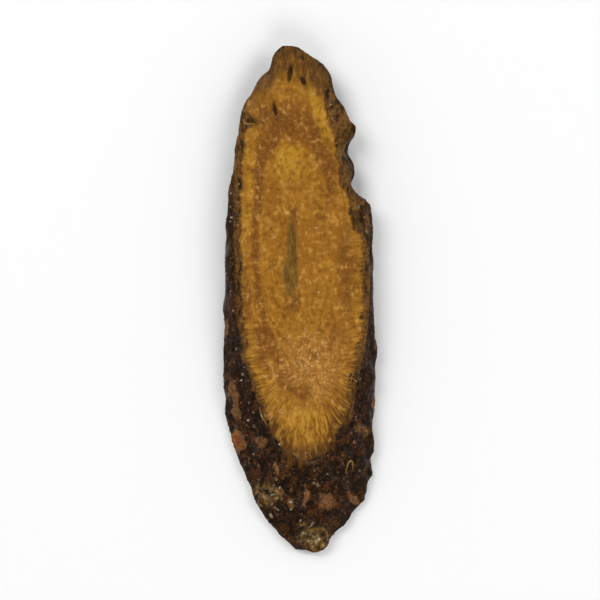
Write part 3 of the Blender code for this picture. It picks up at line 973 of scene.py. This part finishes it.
def scattered(name, resting):
    """Copies of the crumb, one for each place, turn and scale, joined to one piece."""
    copies = []
    for where, turned, scale in resting:
        bpy.ops.object.select_all(action="DESELECT")
        crumb.select_set(True)
        bpy.context.view_layer.objects.active = crumb
        bpy.ops.object.duplicate()
        copy = bpy.context.object
        copy.location, copy.rotation_euler, copy.scale = where, turned, scale
        copies.append(copy)
    for copy in copies:
        copy.select_set(True)
    bpy.context.view_layer.objects.active = copies[0]
    bpy.ops.object.join()
    piece = bpy.context.object
    piece.name = name
    bpy.ops.object.transform_apply(location=True, rotation=True, scale=True)
    return piece


crumbs_piece = scattered("glaze_crumbs", resting)
CRUMB_TONES = (
    (0.42, paint(34, 20, 11)),
    (0.53, paint(74, 48, 26)),
    (0.62, paint(124, 92, 56)),
    (0.72, paint(206, 186, 150)),
)
crumbs_piece.data.materials.append(glazed("glaze_crumb", CRUMB_TONES, 0.7, 0.10, 0.5))
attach(crumbs_piece, "root")

# Beads.
# Drops of sugary glaze that ran together before they dried, mostly round the two
# waxy places at the lower end, their pale colour partly painted highlight: place, half sizes
# and tilt.

BEADS = (
    ((-2.92, -20.80), (0.34, 0.14), 10.0),
    ((-4.20, -22.00), (0.27, 0.21), 0.0),
    ((-2.53, -22.34), (0.42, 0.14), -35.0),
    ((-3.10, -23.15), (0.18, 0.38), 25.0),
    ((-2.14, -20.08), (0.22, 0.16), 60.0),
    ((-1.00, -21.58), (0.24, 0.20), 0.0),
    ((-0.95, -22.42), (0.18, 0.18), 0.0),
    ((0.05, -23.60), (0.12, 0.22), -20.0),
    ((1.30, -23.98), (0.14, 0.42), -35.0),
    ((1.08, -24.95), (0.28, 0.34), -25.0),
    ((0.20, -25.20), (0.14, 0.20), 20.0),
    ((0.84, -25.86), (0.29, 0.17), 10.0),
    ((-2.20, -15.40), (0.15, 0.15), 0.0),
    ((-5.56, -12.88), (0.15, 0.15), 0.0),
    ((2.96, -16.60), (0.17, 0.14), 0.0),
    ((-6.10, -7.96), (0.16, 0.20), 0.0),
    ((-6.28, -8.60), (0.22, 0.12), 20.0),
    ((-4.96, -16.48), (0.18, 0.12), 30.0),
    ((6.25, 9.95), (0.15, 0.24), 15.0),
    ((-7.30, 8.80), (0.15, 0.12), 0.0),
)
BEAD_HEIGHT = 0.13
resting = []
for place, half, tilt in BEADS:
    where = on_slice(*place)
    resting.append((where, (0.0, 0.0, math.radians(tilt)), (*half, BEAD_HEIGHT)))
beads_piece = scattered("glaze_beads", resting)
bpy.data.objects.remove(crumb)
BEAD_HIGHLIGHT_TONES = (
    (0.40, paint(84, 70, 46)),
    (0.52, paint(142, 128, 96)),
    (0.66, paint(214, 206, 182)),
)
beads_piece.data.materials.append(glazed("pale_glaze_highlight", BEAD_HIGHLIGHT_TONES, 0.5, 0.10, 0.5))
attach(beads_piece, "root")

# The table, the light and the camera, which looks straight down on the slice.

TABLE_SIZE = 1.2
TABLE_GAP = 0.02 * MM
bpy.ops.object.select_all(action="DESELECT")
bpy.ops.mesh.primitive_plane_add(size=TABLE_SIZE, location=(0.0, 0.0, -TABLE_GAP))
table = bpy.context.object
table.name = "table"
table_white = bpy.data.materials.new("white_table")
table_white.use_nodes = True
laminate = table_white.node_tree.nodes["Principled BSDF"].inputs
laminate["Base Color"].default_value = (0.95, 0.95, 0.95, 1.0)
laminate["Roughness"].default_value = 0.9
table.data.materials.append(table_white)
table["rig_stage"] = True

# A dark ceiling straight above, as round a camera, and pale walls.
world = bpy.data.worlds.new("studio")
world.use_nodes = True
sky = world.node_tree
height = put(sky, "SeparateXYZ", {0: put(sky, "TexCoord").outputs["Generated"]}).outputs[2]
sky.links.new(
    spread(sky, height, 0.45, 0.85, 0.80, 0.05), sky.nodes["Background"].inputs["Strength"]
)
sky.nodes["Background"].inputs["Color"].default_value = (1.0, 1.0, 1.0, 1.0)
bpy.context.scene.world = world
bpy.context.scene.view_settings.view_transform = "Standard"


def softbox(name, place, size, power):
    """A square studio light at this place, aimed at the slice."""
    bpy.ops.object.light_add(type="AREA", location=place)
    light = bpy.context.object
    light.name = name
    light.data.size = size
    light.data.energy = power
    light.rotation_euler = (-Vector(place)).to_track_quat("-Z", "Y").to_euler()


softbox("key", (-0.20, 0.20, 0.36), 0.22, 0.75)
softbox("fill", (0.27, 0.08, 0.36), 0.22, 0.50)
softbox("front", (0.04, -0.28, 0.36), 0.22, 0.50)
softbox("spark", (-0.12, 0.15, 0.42), 0.035, 0.12)

CAMERA_HEIGHT = 0.45
VIEW_HEIGHT = 0.064
SENSOR = 36.0
bpy.ops.object.camera_add(location=(0.0, 0.0, CAMERA_HEIGHT), rotation=(0.0, 0.0, 0.0))
camera = bpy.context.object
camera.data.sensor_width = SENSOR
camera.data.lens = SENSOR * (CAMERA_HEIGHT - THICKNESS * MM) / VIEW_HEIGHT
camera.data.clip_start = 0.01
bpy.context.scene.camera = camera

low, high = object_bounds()
